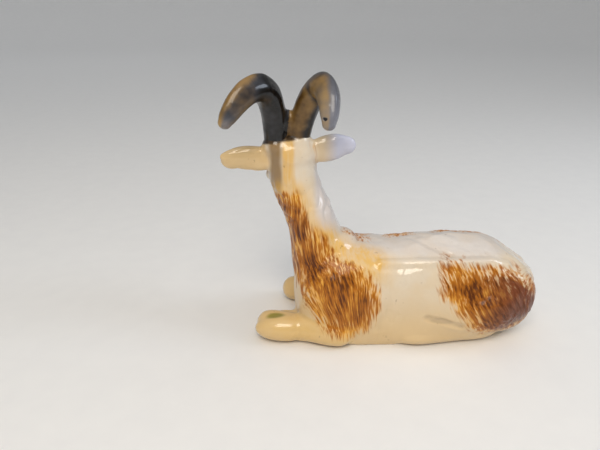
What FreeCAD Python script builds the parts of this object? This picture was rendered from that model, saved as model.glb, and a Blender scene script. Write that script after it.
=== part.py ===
import FreeCAD
import Part
import math
import os

# A glazed earthenware goat lying down, with its head turned over its right side.
# It is built the way a figurine maker builds one: a hollow slip-cast body with a
# drain hole, a hollow neck, and solid castings stuck on with slip. Each casting is
# one node, and is trimmed to the casting that it is stuck to.
#
# Frame, in millimetres: the origin is on the flat foot under the middle of the body,
# +X towards the chest, +Y towards the goat's left flank, +Z up.

Vector = FreeCAD.Vector
UP = Vector(0, 0, 1)
DOWN = Vector(0, 0, -1)
LEFT = Vector(0, 1, 0)
FORWARD = Vector(1, 0, 0)

# Driving dimensions
BODY_LENGTH = 76.4
BODY_WIDTH = 31.0
BODY_HEIGHT = 33.0
RUMP_X = -35.2
WALL = 3.0
DRAIN_RADIUS = 1.5
DRAIN_X = 16.0
LEG_RADIUS = 4.4
LEFT_EAR_HEIGHT = 7.5
RIGHT_EAR_HEIGHT = 8.2
LEFT_EAR_DROOP = 2.6
EAR_THICKNESS = 4.2
HORN_THICKNESS = 7.2

# The head's own frame: where the skull's middle is, and how it is turned, in degrees.
SKULL = Vector(41.6, -1.8, 58.0)
HEAD_YAW = -12.0
HEAD_PITCH = -34.0
HEAD_ROLL = 7.0

RING_POINTS = 16
DOME_TURNS = (34, 60, 78)
SMALLEST_END = 0.24
GROUND_SPAN = 300.0
GROUND_DEPTH = 40.0


def ring(centre, across, upward, half_width, rise, drop, squareness=2.0):
    """A closed smooth section: half_width to each side, rise above and drop below."""
    points = []
    for k in range(RING_POINTS):
        turn = 2 * math.pi * k / RING_POINTS
        cosine = math.cos(turn)
        sine = math.sin(turn)
        side = math.copysign(abs(cosine) ** (2 / squareness), cosine) * half_width
        lift = math.copysign(abs(sine) ** (2 / squareness), sine)
        lift *= rise if lift > 0 else drop
        points.append(centre + across * side + upward * lift)
    curve = Part.BSplineCurve()
    curve.interpolate(points, PeriodicFlag=True)
    return Part.Wire([curve.toShape()])


def loft(wires):
    """One closed solid through the wires, in order."""
    solid = Part.makeLoft(wires, True, False)
    if solid.Volume < 0:
        solid.reverse()
    return solid


def tangents(points):
    """The path's direction at each of its points."""
    found = []
    for k in range(len(points)):
        before = points[max(k - 1, 0)]
        after = points[min(k + 1, len(points) - 1)]
        found.append((after - before).normalize())
    return found


def dome(step, sense):
    """The sections that close a limb's end as a round cap, going outwards."""
    point, along, half_width, half_depth = step
    reach = min(half_width, half_depth)
    extra = []
    for degrees in DOME_TURNS:
        turn = math.radians(degrees)
        shrink = max(math.cos(turn), SMALLEST_END)
        place = point + along * (sense * reach * math.sin(turn))
        extra.append((place, along, half_width * shrink, half_depth * shrink))
    return extra


def limb(stations, depth_axis, round_start=False, round_end=True):
    """A solid along a path. Each station is (point, half width, half depth), where
    depth lies along depth_axis and width lies across it and the path."""
    ways = tangents([station[0] for station in stations])
    steps = [(point, way, wide, deep) for (point, wide, deep), way in zip(stations, ways)]
    if round_start:
        steps = dome(steps[0], -1)[::-1] + steps
    if round_end:
        steps = steps + dome(steps[-1], 1)
    wires = []
    for point, way, half_width, half_depth in steps:
        across = way.cross(depth_axis).normalize()
        upward = across.cross(way).normalize()
        wires.append(ring(point, across, upward, half_width, half_depth, half_depth))
    return loft(wires)


def head_axes():
    """Forward, left and up of the head. Unturned, it faces -Y with +X at its left."""
    yaw = FreeCAD.Rotation(UP, HEAD_YAW)
    forward = yaw.multVec(Vector(0, -1, 0))
    left = yaw.multVec(FORWARD)
    left = FreeCAD.Rotation(forward, HEAD_ROLL).multVec(left)
    forward = FreeCAD.Rotation(left, -HEAD_PITCH).multVec(forward)
    return forward, left, forward.cross(left)


def above_ground(shape):
    """The shape with everything under the ground plane cut off flat."""
    corner = Vector(-GROUND_SPAN / 2, -GROUND_SPAN / 2, -GROUND_DEPTH)
    return shape.cut(Part.makeBox(GROUND_SPAN, GROUND_SPAN, GROUND_DEPTH, corner))


def trimmed(shape, *others):
    """The largest solid that is left of shape outside the others."""
    for other in others:
        shape = shape.cut(other)
    return max(shape.Solids, key=lambda solid: solid.Volume)


# Body sections from rump to chest: share of the length, half width as a share of the
# body's width, top and middle as shares of its height, how far the section's lower half
# would reach under its middle as a share of the middle's height, and squareness.
BODY_SECTIONS = (
    (0.000, 0.13, 0.62, 0.42, 0.50, 2.0),
    (0.028, 0.28, 0.72, 0.42, 0.80, 2.0),
    (0.090, 0.40, 0.83, 0.42, 1.00, 2.1),
    (0.170, 0.465, 0.935, 0.42, 1.04, 2.2),
    (0.280, 0.49, 0.995, 0.42, 1.14, 2.4),
    (0.380, 0.49, 1.00, 0.41, 1.30, 2.5),
    (0.500, 0.48, 0.96, 0.40, 1.44, 2.5),
    (0.620, 0.48, 0.94, 0.40, 1.46, 2.5),
    (0.740, 0.495, 0.95, 0.41, 1.44, 2.5),
    (0.840, 0.480, 0.975, 0.42, 1.36, 2.4),
    (0.920, 0.405, 0.955, 0.44, 1.16, 2.2),
    (0.970, 0.28, 0.865, 0.46, 0.90, 2.0),
    (1.000, 0.13, 0.74, 0.48, 0.60, 2.0),
)


def body_form(inset):
    """The body's outside, or its cavity when inset is the wall's thickness."""
    wires = []
    for share, half_width, top, middle, reach, squareness in BODY_SECTIONS:
        width = half_width * BODY_WIDTH - inset
        rise = (top - middle) * BODY_HEIGHT - inset
        drop = middle * BODY_HEIGHT * reach - inset
        if min(width, rise, drop) < 1.5:
            continue
        centre = Vector(RUMP_X + share * BODY_LENGTH, 0, middle * BODY_HEIGHT)
        wires.append(ring(centre, LEFT, UP, width, rise, drop, squareness))
    return loft(wires)


# Neck sections from inside the shoulders to the skull: middle, half width, half depth.
NECK_SECTIONS = (
    (Vector(31.0, -0.5, 19.0), 9.6, 10.6),
    (Vector(33.6, -0.8, 29.0), 8.8, 10.2),
    (Vector(35.4, -1.0, 36.0), 7.6, 9.2),
    (Vector(37.6, -1.2, 42.0), 7.0, 8.4),
    (Vector(40.2, -1.4, 48.0), 7.0, 7.8),
    (Vector(41.6, -1.6, 54.0), 7.3, 7.4),
    (Vector(41.9, -1.8, 59.0), 6.4, 6.4),
)


def neck_form(inset):
    """The neck's outside, or its bore when inset is the wall's thickness."""
    sections = [(middle, wide - inset, deep - inset) for middle, wide, deep in NECK_SECTIONS]
    return limb(sections, LEFT, round_end=False)


# Head sections: distance from the skull's middle towards the nose, half width, and rise
# and drop from the head's centre line.
HEAD_SECTIONS = (
    (-7.6, 2.2, 2.0, 2.2),
    (-6.6, 4.4, 3.9, 4.2),
    (-4.0, 6.6, 5.7, 6.0),
    (0.5, 7.3, 6.4, 6.9),
    (5.0, 6.9, 6.0, 6.8),
    (9.5, 5.6, 4.7, 5.9),
    (14.0, 4.5, 3.8, 4.8),
    (18.5, 4.2, 3.3, 4.0),
    (21.4, 3.8, 2.8, 3.4),
    (23.3, 2.6, 1.9, 2.3),
    (24.0, 1.2, 0.9, 1.1),
)


def head_form(forward, left, upward):
    """The skull and muzzle as one casting."""
    wires = []
    for reach, half_width, rise, drop in HEAD_SECTIONS:
        wires.append(ring(SKULL + forward * reach, left, upward, half_width, rise, drop))
    return loft(wires)


# Ear sections from root to tip: share of the length, half height and half thickness as
# shares of the ear's height and thickness.
EAR_SECTIONS = (
    (0.00, 0.38, 0.46),
    (0.20, 0.41, 0.46),
    (0.40, 0.48, 0.50),
    (0.58, 0.485, 0.48),
    (0.74, 0.41, 0.41),
    (0.88, 0.27, 0.28),
    (0.97, 0.14, 0.14),
    (1.00, 0.07, 0.07),
)
EAR_HOLLOW_OFFSET = 0.46
EAR_HOLLOW_WIDTH = 0.66
EAR_HOLLOW_DEPTH = 0.62


def ear(root, tip, face, ear_height):
    """A leaf-shaped ear from root to tip, hollowed on the side that face points to."""
    leaf = []
    hollow = []
    for share, height, thickness in EAR_SECTIONS:
        place = root + (tip - root) * share
        high = height * ear_height
        thick = thickness * EAR_THICKNESS
        leaf.append((place, thick, high))
        if 0.3 < share < 0.9:
            sunk = place + face * (EAR_HOLLOW_OFFSET * EAR_THICKNESS)
            hollow.append((sunk, thick * EAR_HOLLOW_DEPTH, high * EAR_HOLLOW_WIDTH))
    return limb(leaf, UP, round_end=False).cut(limb(hollow, UP, round_end=False))


# Horn paths from inside the skull, over the curl and down to the tip.
LEFT_HORN_PATH = (
    Vector(46.2, -0.6, 59.5),
    Vector(46.4, 0.5, 66.0),
    Vector(46.7, 2.0, 71.2),
    Vector(47.8, 4.4, 76.2),
    Vector(50.2, 7.6, 79.0),
    Vector(53.3, 10.8, 78.4),
    Vector(56.3, 13.4, 75.4),
    Vector(58.3, 15.0, 72.4),
    Vector(59.0, 15.6, 71.1),
)
RIGHT_HORN_PATH = (
    Vector(40.6, -0.6, 59.5),
    Vector(39.7, 0.4, 66.0),
    Vector(38.2, 1.2, 71.2),
    Vector(36.1, 2.8, 76.3),
    Vector(34.0, 5.6, 79.3),
    Vector(32.3, 9.2, 78.7),
    Vector(31.6, 12.4, 76.0),
    Vector(31.6, 14.6, 72.4),
    Vector(31.8, 15.3, 70.7),
)
HORN_TAPER = (0.50, 0.50, 0.51, 0.51, 0.505, 0.485, 0.43, 0.34, 0.26)
HORN_WIDE = 1.04
HORN_DEEP = 0.96


def horn(path):
    """A horn that rises, curls over and ends in a blunt tip."""
    sideways = (path[-1] - path[0]).cross(UP).normalize()
    stations = []
    for point, share in zip(path, HORN_TAPER):
        radius = HORN_THICKNESS * share
        stations.append((point, radius * HORN_WIDE, radius * HORN_DEEP))
    return limb(stations, sideways)


def foreleg(elbow, knee, hoof):
    """A foreleg folded under: a forearm to the knee, then a shank back to the hoof."""
    reach = knee - elbow
    forearm = (
        (elbow, LEG_RADIUS * 1.08, LEG_RADIUS * 1.04),
        (elbow + reach * 0.35, LEG_RADIUS * 1.02, LEG_RADIUS),
        (elbow + reach * 0.72, LEG_RADIUS * 0.95, LEG_RADIUS * 0.96),
        (knee, LEG_RADIUS * 0.99, LEG_RADIUS * 0.98),
    )
    inward = (hoof - knee).normalize()
    fold = knee + inward * (LEG_RADIUS * 0.5)
    back = hoof - fold
    shank = (
        (fold, LEG_RADIUS * 0.78, LEG_RADIUS * 0.84),
        (fold + back * 0.40, LEG_RADIUS * 0.62, LEG_RADIUS * 0.72),
        (fold + back * 0.72, LEG_RADIUS * 0.64, LEG_RADIUS * 0.74),
        (hoof, LEG_RADIUS * 0.72, LEG_RADIUS * 0.78),
    )
    return limb(forearm, UP, round_start=True).fuse(limb(shank, UP, round_start=True))


def haunch(side):
    """The thigh, from the hip forwards and down to the stifle."""
    sections = (
        (Vector(-26.6, side * 6.6, 15.6), 7.6, 9.6),
        (Vector(-20.6, side * 8.0, 15.6), 8.6, 12.2),
        (Vector(-13.5, side * 9.2, 13.8), 7.8, 11.2),
        (Vector(-7.5, side * 9.8, 11.0), 6.2, 8.4),
    )
    return limb(sections, UP, round_start=True)


def hind_foot(side):
    """The shank under the thigh, from the hock forwards to the hoof."""
    sections = (
        (Vector(-20.0, side * 7.0, 4.0), LEG_RADIUS * 0.95, LEG_RADIUS * 0.9),
        (Vector(-12.0, side * 8.8, 3.9), LEG_RADIUS * 0.9, LEG_RADIUS * 0.88),
        (Vector(-3.0, side * 10.4, 3.7), LEG_RADIUS * 0.84, LEG_RADIUS * 0.84),
        (Vector(5.0, side * 11.0, 3.5), LEG_RADIUS * 0.86, LEG_RADIUS * 0.8),
    )
    return limb(sections, UP, round_start=True)


def tail():
    """A short tail laid down over the far side of the rump."""
    sections = (
        (Vector(-26.4, -3.6, 23.6), 3.0, 2.6),
        (Vector(-30.4, -5.2, 22.2), 3.0, 2.6),
        (Vector(-33.2, -6.4, 19.0), 2.9, 2.5),
        (Vector(-34.6, -7.4, 15.2), 2.4, 2.1),
        (Vector(-34.9, -8.0, 11.8), 1.5, 1.3),
        (Vector(-34.7, -8.4, 10.0), 0.7, 0.6),
    )
    return limb(sections, LEFT, round_end=False)


def beard(chin):
    """A tuft that hangs from the chin."""
    sections = (
        (chin, 2.4, 2.6),
        (chin + DOWN * 3.5, 2.4, 2.7),
        (chin + DOWN * 6.5, 2.0, 2.2),
        (chin + DOWN * 9.5, 1.3, 1.4),
        (chin + DOWN * 11.5, 0.6, 0.6),
    )
    return limb(sections, LEFT, round_end=False)


def build():
    """Every casting, trimmed to its neighbours, by node name."""
    forward, left, upward = head_axes()
    outside = above_ground(body_form(0.0))
    slab_corner = Vector(-GROUND_SPAN / 2, -GROUND_SPAN / 2, -GROUND_DEPTH)
    floor = Part.makeBox(GROUND_SPAN, GROUND_SPAN, GROUND_DEPTH + WALL, slab_corner)
    cavity = body_form(WALL).cut(floor)
    bore = neck_form(WALL)
    drain = Part.makeCylinder(DRAIN_RADIUS, WALL * 3, Vector(DRAIN_X, 0, -WALL))
    head = head_form(forward, left, upward)

    parts = {"body": outside.cut(cavity).cut(bore).cut(drain), "head": head}
    neck = trimmed(neck_form(0.0).cut(bore), outside, head)
    parts["neck"] = neck

    ear_back = forward * -2.0 + upward * 0.2
    left_root = SKULL + left * 3.4 + ear_back - UP * LEFT_EAR_DROOP
    right_root = SKULL - left * 3.4 + ear_back
    left_ear = ear(left_root, Vector(62.9, 2.4, 58.5), forward, LEFT_EAR_HEIGHT)
    right_ear = ear(right_root, Vector(23.2, 0.2, 62.5), forward, RIGHT_EAR_HEIGHT)
    parts["left_ear"] = trimmed(left_ear, head, neck)
    parts["right_ear"] = trimmed(right_ear, head, neck)

    left_horn = trimmed(horn(LEFT_HORN_PATH), head, neck)
    parts["left_horn"] = left_horn
    parts["right_horn"] = trimmed(horn(RIGHT_HORN_PATH), head, neck, left_horn)
    parts["beard"] = trimmed(beard(SKULL + forward * 18.5 - upward * 1.6), head)

    elbow_left = Vector(27.0, 11.8, 4.6)
    knee_left = Vector(49.0, 6.7, 4.4)
    elbow_right = Vector(22.0, -11.8, 4.6)
    knee_right = Vector(41.4, -16.4, 4.4)
    left_foreleg = foreleg(elbow_left, knee_left, Vector(33.0, 0.8, 3.6))
    right_foreleg = foreleg(elbow_right, knee_right, Vector(27.0, -9.0, 3.6))
    parts["left_foreleg"] = trimmed(above_ground(left_foreleg), outside)
    parts["right_foreleg"] = trimmed(above_ground(right_foreleg), outside)

    for name, side in (("left", 1), ("right", -1)):
        thigh = trimmed(above_ground(haunch(side)), outside)
        parts[name + "_haunch"] = thigh
        parts[name + "_hind_foot"] = trimmed(above_ground(hind_foot(side)), outside, thigh)
    parts["tail"] = trimmed(tail(), outside, parts["right_haunch"])
    return parts


os.makedirs("parts", exist_ok=True)
for node, shape in sorted(build().items()):
    print(f"{node:16s} valid {shape.isValid()} solids {len(shape.Solids)} {shape.Volume:9.1f} mm3")
    shape.exportStep("parts/" + node + ".step")
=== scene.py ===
"""A glazed pottery goat that lies down with its head turned away, built as its maker builds it.

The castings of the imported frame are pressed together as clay, smoothed at their joins, combed
into locks of hair, cut apart again into one closed piece for each casting, painted and glazed.
"""

import logging
import math
from dataclasses import dataclass, field
from enum import Enum

import bmesh
import bpy
import numpy as np
from mathutils import Euler, Matrix, Vector, noise
from mathutils.bvhtree import BVHTree


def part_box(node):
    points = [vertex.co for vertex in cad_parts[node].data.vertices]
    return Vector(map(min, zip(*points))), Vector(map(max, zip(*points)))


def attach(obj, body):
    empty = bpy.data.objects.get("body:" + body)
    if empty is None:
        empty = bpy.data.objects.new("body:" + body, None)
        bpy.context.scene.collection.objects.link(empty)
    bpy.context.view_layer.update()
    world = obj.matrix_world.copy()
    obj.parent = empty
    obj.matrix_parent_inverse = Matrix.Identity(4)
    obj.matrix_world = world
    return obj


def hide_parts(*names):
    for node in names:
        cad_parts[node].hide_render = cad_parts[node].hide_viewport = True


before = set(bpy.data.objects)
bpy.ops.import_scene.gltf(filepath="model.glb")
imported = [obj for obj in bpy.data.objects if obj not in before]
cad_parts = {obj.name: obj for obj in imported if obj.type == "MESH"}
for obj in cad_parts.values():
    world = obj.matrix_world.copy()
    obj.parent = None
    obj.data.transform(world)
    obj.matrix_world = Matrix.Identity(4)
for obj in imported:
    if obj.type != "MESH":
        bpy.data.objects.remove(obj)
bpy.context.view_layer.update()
MM = 0.001
LOG = logging.getLogger("goat")
BODY = "root"
Triple = tuple[float, float, float]


class Slot(Enum):
    """The record's material slots."""

    FLEECE = "fleece_glaze"
    CREAM = "cream_glaze"
    HORN = "horn_glaze"


def span(node: str) -> tuple[np.ndarray, np.ndarray]:
    """Gives a casting's lowest and highest corners, in millimetres."""
    low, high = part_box(node)
    return np.array(low) / MM, np.array(high) / MM


def within(node: str, along: float, across: float, up: float) -> np.ndarray:
    """Gives a point in a casting's box.

    Args:
        node: the casting's name.
        along: share of its length, from rump to chest.
        across: share of its width, from the right flank to the left.
        up: share of its height.

    Returns:
        The point, in millimetres.
    """
    low, high = span(node)
    return low + (high - low) * np.array([along, across, up])


def ramp(value: np.ndarray, low: float, high: float) -> np.ndarray:
    """Gives a smooth step from 0 at low to 1 at high.

    Args:
        value: any numbers.
        low: where the step starts.
        high: where it ends.

    Returns:
        Numbers from 0 to 1.
    """
    share = np.clip((value - low) / (high - low), 0.0, 1.0)
    return share * share * (3.0 - 2.0 * share)


def clay_noise(points: np.ndarray, stretch: Triple, seed: float) -> np.ndarray:
    """Samples smooth noise at many points.

    Args:
        points: rows of three coordinates, in millimetres.
        stretch: the size of the pattern along each coordinate, in millimetres.
        seed: shifts the pattern.

    Returns:
        One number from about -1 to 1 for each point.
    """
    scaled = points / np.array(stretch) + seed
    return np.array([noise.noise(Vector(row)) for row in scaled])


# ---------------------------------------------------------------- clay


def new_object(name: str, mesh: bpy.types.Mesh) -> bpy.types.Object:
    """Puts a mesh into the scene, at the origin."""
    made = bpy.data.objects.new(name, mesh)
    bpy.context.scene.collection.objects.link(made)
    return made


@dataclass
class Clay:
    """Castings and pellets that are pressed together into one skin."""

    voxel: float = 0.36
    mesh: bmesh.types.BMesh = field(default_factory=bmesh.new)

    def casting(self, node: str) -> None:
        """Adds a copy of a casting."""
        self.mesh.from_mesh(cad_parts[node].data)
        bmesh.ops.remove_doubles(self.mesh, verts=self.mesh.verts, dist=1e-7)

    def pellet(self, middle: np.ndarray, radii: Triple,
               axes: Matrix | None = None) -> None:
        """Adds an egg of clay.

        Args:
            middle: its middle, in millimetres.
            radii: its three radii, in millimetres.
            axes: its turn, or None for the frame's own axes.
        """
        place = Matrix.Translation(Vector(middle) * MM)
        turn = axes.to_4x4() if axes else Matrix.Identity(4)
        size = Matrix.Diagonal((*(Vector(radii) * MM), 1.0))
        bmesh.ops.create_icosphere(self.mesh, subdivisions=3, radius=1.0, matrix=place @ turn @ size)

    def fuse(self) -> bpy.types.Object:
        """Presses everything into one closed skin.

        Returns:
            The skin's object.
        """
        soft = bpy.data.meshes.new("clay")
        self.mesh.to_mesh(soft)
        self.mesh.free()
        lump = new_object("clay", soft)
        remesh = lump.modifiers.new("press", "REMESH")
        remesh.mode = "VOXEL"
        remesh.voxel_size = self.voxel * MM
        bpy.context.view_layer.update()
        skin = bpy.data.meshes.new_from_object(lump.evaluated_get(bpy.context.evaluated_depsgraph_get()))
        lump.modifiers.clear()
        lump.data = skin
        bpy.data.meshes.remove(soft)
        self.outer_shell(skin)
        return lump

    @staticmethod
    def outer_shell(skin: bpy.types.Mesh) -> None:
        """Keeps the largest closed shell of a mesh.

        Args:
            skin: the mesh.
        """
        bm = bmesh.new()
        bm.from_mesh(skin)
        left = set(bm.verts)
        shells = []
        while left:
            shell = {left.pop()}
            edge = list(shell)
            while edge:
                near = {link.other_vert(v) for v in edge for link in v.link_edges} - shell
                shell |= near
                edge = list(near)
            left -= shell
            shells.append(shell)
        largest = max(shells, key=len)
        loose = [v for v in bm.verts if v not in largest]
        bmesh.ops.delete(bm, geom=loose, context="VERTS")
        bm.to_mesh(skin)
        bm.free()


@dataclass
class Skin:
    """The fused skin as arrays: points, neighbours and the casting that each point belongs to."""

    lump: bpy.types.Object
    names: list[str]
    points: np.ndarray = field(init=False)
    edges: np.ndarray = field(init=False)
    owner: np.ndarray = field(init=False)
    second: np.ndarray = field(init=False)

    def __post_init__(self) -> None:
        """Reads the mesh and finds each point's casting."""
        mesh = self.lump.data
        self.points = np.empty(len(mesh.vertices) * 3)
        mesh.vertices.foreach_get("co", self.points)
        self.points = self.points.reshape(-1, 3) / MM
        self.edges = np.empty(len(mesh.edges) * 2, int)
        mesh.edges.foreach_get("vertices", self.edges)
        self.edges = self.edges.reshape(-1, 2)
        self.degree = np.bincount(self.edges.ravel(), minlength=len(self.points))[:, None]
        self.find_owners()

    def find_owners(self, reach: float = 5.0) -> None:
        """Gives each point to the nearest casting, and notes how much farther the next one is.

        Args:
            reach: how far from a point a casting is looked for, in millimetres.
        """
        gaps = np.full((len(self.names), len(self.points)), reach)
        for row, name in enumerate(self.names):
            low, high = span(name)
            close = np.all((self.points > low - reach) & (self.points < high + reach), axis=1)
            bm = bmesh.new()
            bm.from_mesh(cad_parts[name].data)
            tree = BVHTree.FromBMesh(bm)
            bm.free()
            for k in np.flatnonzero(close):
                hit = tree.find_nearest(Vector(self.points[k]) * MM, reach * MM)
                if hit[0] is not None:
                    gaps[row, k] = hit[3] / MM
        self.owner = gaps.argmin(axis=0)
        ranked = np.sort(gaps, axis=0)
        self.second = ranked[1] - ranked[0]
        votes = [self.spread((self.owner == row).astype(float), 8) for row in range(len(self.names))]
        self.owner = np.argmax(votes, axis=0)

    def face_owner(self) -> np.ndarray:
        """Gives the casting that most corners of each face belong to."""
        mesh = self.lump.data
        corners = np.empty(len(mesh.loops), int)
        mesh.loops.foreach_get("vertex_index", corners)
        owners = self.owner[corners.reshape(-1, 4)]
        votes = (owners[:, :, None] == owners[:, None, :]).sum(axis=2)
        return owners[np.arange(len(owners)), votes.argmax(axis=1)]

    def spread(self, values: np.ndarray, times: int) -> np.ndarray:
        """Averages values with their neighbours'.

        Args:
            values: one row for each point.
            times: how often.

        Returns:
            The smoothed rows.
        """
        rows = values.reshape(len(values), -1).astype(float)
        first, second = self.edges.T
        for _ in range(times):
            total = np.zeros_like(rows)
            for column in range(rows.shape[1]):
                total[:, column] += np.bincount(first, rows[second, column], len(rows))
                total[:, column] += np.bincount(second, rows[first, column], len(rows))
            rows = 0.5 * rows + 0.5 * total / self.degree
        return rows.reshape(values.shape)

    def soften(self, weight: np.ndarray, times: int) -> None:
        """Smooths the skin where weight is more than 0.

        Args:
            weight: from 0 to 1 for each point.
            times: how often.
        """
        for _ in range(times):
            smooth = self.spread(self.points, 1)
            self.points += (smooth - self.points) * weight[:, None]

    def write(self) -> None:
        """Puts the points back into the mesh."""
        mesh = self.lump.data
        mesh.vertices.foreach_set("co", (self.points * MM).ravel())
        mesh.update()

    def normals(self) -> np.ndarray:
        """Gives the outward direction at each point."""
        self.write()
        found = np.empty(len(self.points) * 3)
        self.lump.data.vertices.foreach_get("normal", found)
        return found.reshape(-1, 3)

    def gap(self, middle: np.ndarray) -> np.ndarray:
        """Gives how far each point is from a spot, in millimetres."""
        return np.linalg.norm(self.points - middle, axis=1)

    def press(self, middle: np.ndarray, radius: float, way: np.ndarray, depth: float,
              squash: Triple = (1.0, 1.0, 1.0), axes: np.ndarray | None = None) -> None:
        """Moves a round patch of the skin, as a thumb or a modelling tool does.

        Args:
            middle: the patch's middle, in millimetres.
            radius: its radius, in millimetres.
            way: the direction that it moves in.
            depth: how far its middle moves, in millimetres.
            squash: the patch's size along each axis, as a share of radius.
            axes: rows of the patch's own axes, or None for the frame's.
        """
        offset = self.points - middle
        if axes is not None:
            offset = offset @ axes.T
        distance = ((offset / np.array(squash) / radius) ** 2).sum(axis=1)
        near = distance < 1.0
        fall = (1.0 - distance[near]) ** 2
        self.points[near] += np.outer(fall * depth, way)

    def reach_of(self, path: tuple[Triple, ...]) -> np.ndarray:
        """Gives how far each point is from a path.

        Args:
            path: the path's corners, in millimetres.

        Returns:
            One distance for each point, in millimetres.
        """
        nearest = np.full(len(self.points), np.inf)
        corners = np.array(path)
        for start, end in zip(corners, corners[1:]):
            way = end - start
            share = np.clip(((self.points - start) @ way) / (way @ way), 0, 1)
            gap = np.linalg.norm(self.points - start - share[:, None] * way, axis=1)
            nearest = np.minimum(nearest, gap)
        return nearest

    def draw(self, path: tuple[Triple, ...], radius: float,
             way: Triple, depth: float) -> None:
        """Draws a modelling tool along a path.

        Args:
            path: the path's corners, in millimetres.
            radius: half the tool's width, in millimetres.
            way: the direction that the clay moves in.
            depth: how far it moves, in millimetres.
        """
        fall = np.clip(1 - (self.reach_of(path) / radius) ** 2, 0, 1) ** 2
        aim = np.array(way) / np.linalg.norm(way)
        self.points += np.outer(fall * depth, aim)

    def paddle(self, middle: Triple, facing: Triple,
               radii: Triple, share: float) -> None:
        """Beats a round place flat.

        Args:
            middle: a point of the flat, in millimetres.
            facing: the flat's outward direction.
            radii: how far the paddle reaches along each axis, in millimetres.
            share: from 0 for untouched to 1 for flat.
        """
        aim = np.array(facing) / np.linalg.norm(facing)
        offset = self.points - np.array(middle)
        above = np.clip(offset @ aim, 0, None)
        fall = 1 - ramp(np.linalg.norm(offset / np.array(radii), axis=1), 0.65, 1.0)
        self.points -= np.outer(above * fall * share, aim)


# ---------------------------------------------------------------- the head's own frame


@dataclass(frozen=True)
class HeadAxes:
    """Where the head is and how it is turned: forward to the nose, left to the left ear, up."""

    origin: np.ndarray
    forward: np.ndarray
    left: np.ndarray
    up: np.ndarray

    @classmethod
    def find(cls) -> "HeadAxes":
        """Works the axes out from the ears and from the head's farthest point."""
        ears = [within(node, 0.5, 0.5, 0.5) for node in ("left_ear", "right_ear")]
        middle = (ears[0] + ears[1]) / 2
        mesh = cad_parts["head"].data
        points = np.array([v.co for v in mesh.vertices]) / MM
        nose = points[np.linalg.norm(points - middle, axis=1).argmax()]
        forward = (nose - middle) / np.linalg.norm(nose - middle)
        left = ears[0] - ears[1]
        left -= forward * (left @ forward)
        left /= np.linalg.norm(left)
        return cls(middle, forward, left, np.cross(forward, left))

    def at(self, ahead: float, aside: float, above: float) -> np.ndarray:
        """Gives a point from lengths towards the nose, the left ear and the poll, in millimetres."""
        return self.origin + self.forward * ahead + self.left * aside + self.up * above

    def rows(self) -> np.ndarray:
        """Gives the three axes as rows."""
        return np.array([self.forward, self.left, self.up])

    def matrix(self) -> Matrix:
        """Gives the axes as a turn for a pellet."""
        return Matrix([Vector(row) for row in self.rows()]).transposed()


# ---------------------------------------------------------------- hair and paint fields


@dataclass(frozen=True)
class Comb:
    """How the hair lies: it falls from a point high over the shoulders, and gathers at the elbow."""

    crown: tuple[float, float] = (1.10, 4.4)
    spacing: float = 125.0
    elbow: tuple[float, float] = (0.75, 0.85)
    gather: float = 0.036

    def coordinates(self, points: np.ndarray) -> np.ndarray:
        """Gives each point's place across the hair, along it, and into the goat.

        Args:
            points: rows of points, in millimetres.

        Returns:
            Rows of three lengths, in millimetres.
        """
        low, high = span("body")
        crown_x = low[0] + (high[0] - low[0]) * self.crown[0]
        crown_z = low[2] + (high[2] - low[2]) * self.crown[1]
        aside = crown_x - points[:, 0]
        under = crown_z - points[:, 2]
        reach = np.hypot(aside, under)
        beside = points[:, 0] - low[0] - (high[0] - low[0]) * self.elbow[0]
        below = np.clip(low[2] + (high[2] - low[2]) * self.elbow[1] - points[:, 2], 0, None)
        drawn = beside * below * self.gather * (1 - ramp(np.abs(beside), 10.0, 22.0))
        sway = 1.1 * clay_noise(points, (8.0, 8.0, 11.0), 41.0)
        rump = 1 - ramp(points[:, 0], low[0] + 1.0, low[0] + 8.0)
        level = crown_z - (low[2] + high[2]) / 2
        turn = np.arctan2(aside, under + (level - under) * rump)
        return np.stack([turn * self.spacing - drawn + sway, reach, points[:, 1] * (1 + 0.9 * rump)], axis=1)


@dataclass(frozen=True)
class Patch:
    """A painted patch: its outline on one flank, in shares of the body's length and height."""

    outline: tuple[tuple[float, float], ...]
    side: int
    soft: float = 0.0

    def depth(self, points: np.ndarray) -> np.ndarray:
        """Gives how far inside the patch each point is.

        Args:
            points: rows of points, in millimetres.

        Returns:
            Millimetres, more than 0 inside.
        """
        low, high = span("body")
        corners = np.array(self.outline) * (high - low)[[0, 2]] + low[[0, 2]]
        flat = points[:, [0, 2]]
        nearest = np.full(len(flat), np.inf)
        inside = np.zeros(len(flat), bool)
        for start, end in zip(corners, np.roll(corners, -1, axis=0)):
            way = end - start
            share = np.clip(((flat - start) @ way) / (way @ way), 0, 1)
            nearest = np.minimum(nearest, np.linalg.norm(flat - start - share[:, None] * way, axis=1))
            level = (start[1] > flat[:, 1]) != (end[1] > flat[:, 1])
            rise = way[1] if way[1] else 1e-9
            inside ^= level & (flat[:, 0] < (flat[:, 1] - start[1]) * way[0] / rise + start[0])
        depth = np.where(inside, nearest, -nearest)
        return np.minimum(depth, self.side * points[:, 1] + self.soft)


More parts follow.
